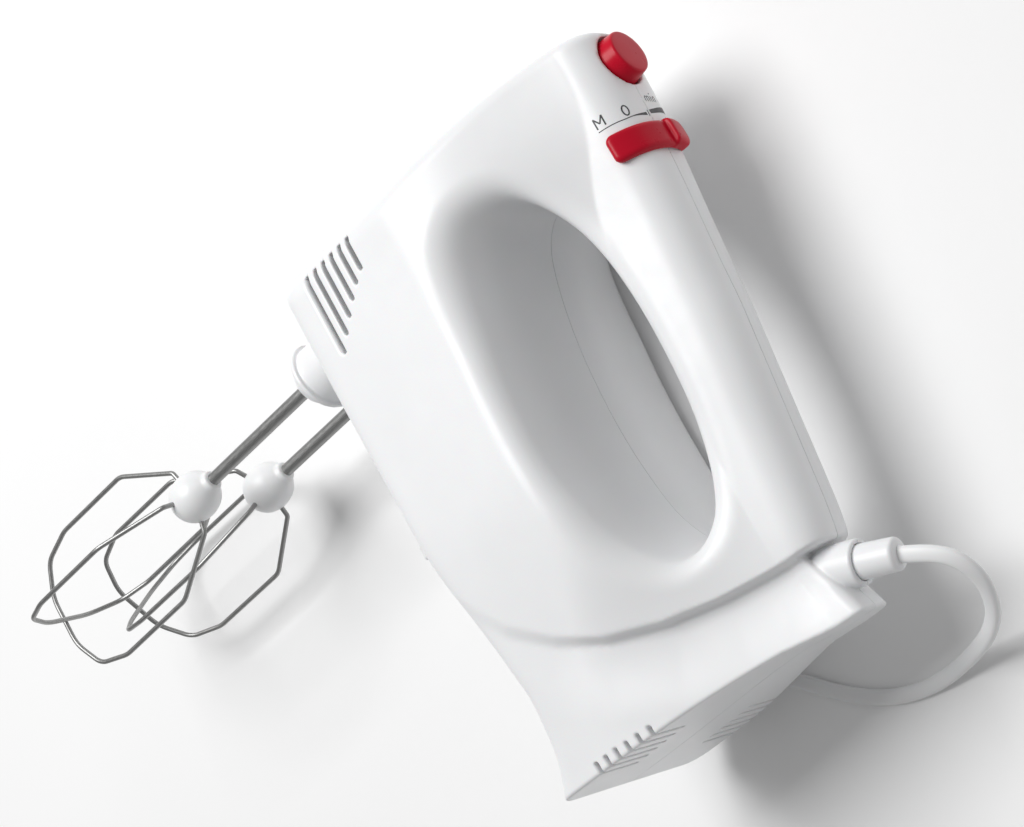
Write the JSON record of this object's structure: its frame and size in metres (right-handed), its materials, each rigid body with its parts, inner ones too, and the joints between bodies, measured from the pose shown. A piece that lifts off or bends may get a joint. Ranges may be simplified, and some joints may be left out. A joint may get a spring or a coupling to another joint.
{
  "type": "hand mixer",
  "caption": "Hand mixer with a closed-loop handle, two wire whisks that turn in opposite directions, a speed slider, an eject button and a flat mains lead.",
  "frame": {"origin": "On the table, below the middle of the mixer's length and of its height from whisk tips to handle top, as it lies on its right side.", "axes": "The mixer lies on its right side: +Z to the user's left, -Y to the nose, +Y to the flat heel, +X to the whisk tips, -X to the handle."},
  "size_m": [0.299, 0.2062, 0.083],
  "materials": {
    "housing_white": "satin gloss white ABS",
    "control_red": "gloss red ABS",
    "hub_white": "satin white acetal",
    "whisk_steel": "drawn stainless steel",
    "cord_white": "matt white PVC",
    "pin_steel": "nickel plated brass",
    "motor_steel": "laminated electrical steel",
    "copper": "enamelled copper",
    "brass": "brass",
    "carbon": "carbon graphite",
    "cast_alloy": "die-cast alloy",
    "shaft_steel": "ground steel",
    "bearing_bronze": "sintered bronze",
    "gear_nylon": "natural nylon",
    "black_nylon": "black nylon",
    "grey_plastic": "grey moulded plastic"
  },
  "bodies": {
    "housing": {"left_shell": "housing_white", "right_shell": "housing_white", "housing_screws": "shaft_steel", "beater_collar": "housing_white", "gear_frame": "cast_alloy", "front_bearing": "bearing_bronze", "middle_bearing": "bearing_bronze", "rear_bearing": "bearing_bronze", "rear_bracket": "black_nylon", "stator_core": "motor_steel", "field_coil_top": "copper", "field_coil_bottom": "copper", "brush_holders": "brass", "carbon_brushes": "carbon", "brush_springs": "shaft_steel", "eject_spring": "shaft_steel", "spring_shelf": "grey_plastic", "switch_block": "black_nylon", "capacitor": "gear_nylon", "inner_wiring": "grey_plastic", "clamp_seat": "housing_white", "cord_clamp": "housing_white", "clamp_screws": "shaft_steel", "strain_relief": "housing_white", "cord_lead": "cord_white", "cord_coil": "cord_white", "cord_tail": "cord_white", "cord_tie": "cord_white", "plug_body": "cord_white", "plug_pins": "pin_steel", "spindle_bushes_left": "bearing_bronze", "spindle_bushes_right": "bearing_bronze"},
    "rotor": {"motor_shaft": "shaft_steel", "worm": "shaft_steel", "armature_core": "motor_steel", "armature_winding": "copper", "commutator": "copper", "cooling_fan": "black_nylon"},
    "spindle_left_body": {"spindle_left": "shaft_steel", "worm_wheel_left": "gear_nylon"},
    "whisk_left": {"whisk_shaft_left": "whisk_steel", "whisk_hub_left": "hub_white", "whisk_loop_a_left": "whisk_steel", "whisk_loop_b_left": "whisk_steel"},
    "spindle_right_body": {"spindle_right": "shaft_steel", "worm_wheel_right": "gear_nylon"},
    "whisk_right": {"whisk_shaft_right": "whisk_steel", "whisk_hub_right": "hub_white", "whisk_loop_a_right": "whisk_steel", "whisk_loop_b_right": "whisk_steel"},
    "ejector": {"eject_button": "control_red", "eject_rod": "grey_plastic", "eject_rod_clip": "grey_plastic", "eject_plate": "grey_plastic"},
    "slider": {"speed_slider": "control_red", "switch_wiper": "grey_plastic"}
  },
  "joints": [
    {"name": "rotor_spin", "type": "hinge", "parent": "housing", "child": "rotor", "pos_m": [-0.05, -0.019, 0.0415], "axis": [0, -1, 0], "continuous": true},
    {"name": "spindle_left_spin", "type": "hinge", "parent": "housing", "child": "spindle_left_body", "pos_m": [-0.024, -0.061, 0.058], "axis": [1, 0, 0], "continuous": true},
    {"name": "spindle_right_spin", "type": "hinge", "parent": "housing", "child": "spindle_right_body", "pos_m": [-0.024, -0.061, 0.025], "axis": [1, 0, 0], "continuous": true},
    {"name": "whisk_left_slide", "type": "slide", "parent": "spindle_left_body", "child": "whisk_left", "axis": [1, 0, 0], "range_m": [0, 0.008]},
    {"name": "whisk_right_slide", "type": "slide", "parent": "spindle_right_body", "child": "whisk_right", "axis": [1, 0, 0], "range_m": [0, 0.008]},
    {"name": "eject_press", "type": "slide", "parent": "housing", "child": "ejector", "axis": [1, 0, 0], "range_m": [0, 0.008], "stiffness_N_per_m": 300, "deforming": ["eject_spring"]},
    {"name": "speed_slide", "type": "hinge", "parent": "housing", "child": "slider", "pos_m": [-0.1214, -0.0505, 0.0415], "axis": [0, -1, 0], "range_deg": [-14, 24]}
  ],
  "couplings": [
    {"joint": "spindle_left_spin", "follows": "rotor_spin", "ratio": 0.08},
    {"joint": "spindle_right_spin", "follows": "rotor_spin", "ratio": -0.08},
    {"joint": "whisk_right_slide", "follows": "whisk_left_slide", "ratio": 1},
    {"joint": "eject_press", "follows": "whisk_left_slide", "ratio": 1}
  ]
}
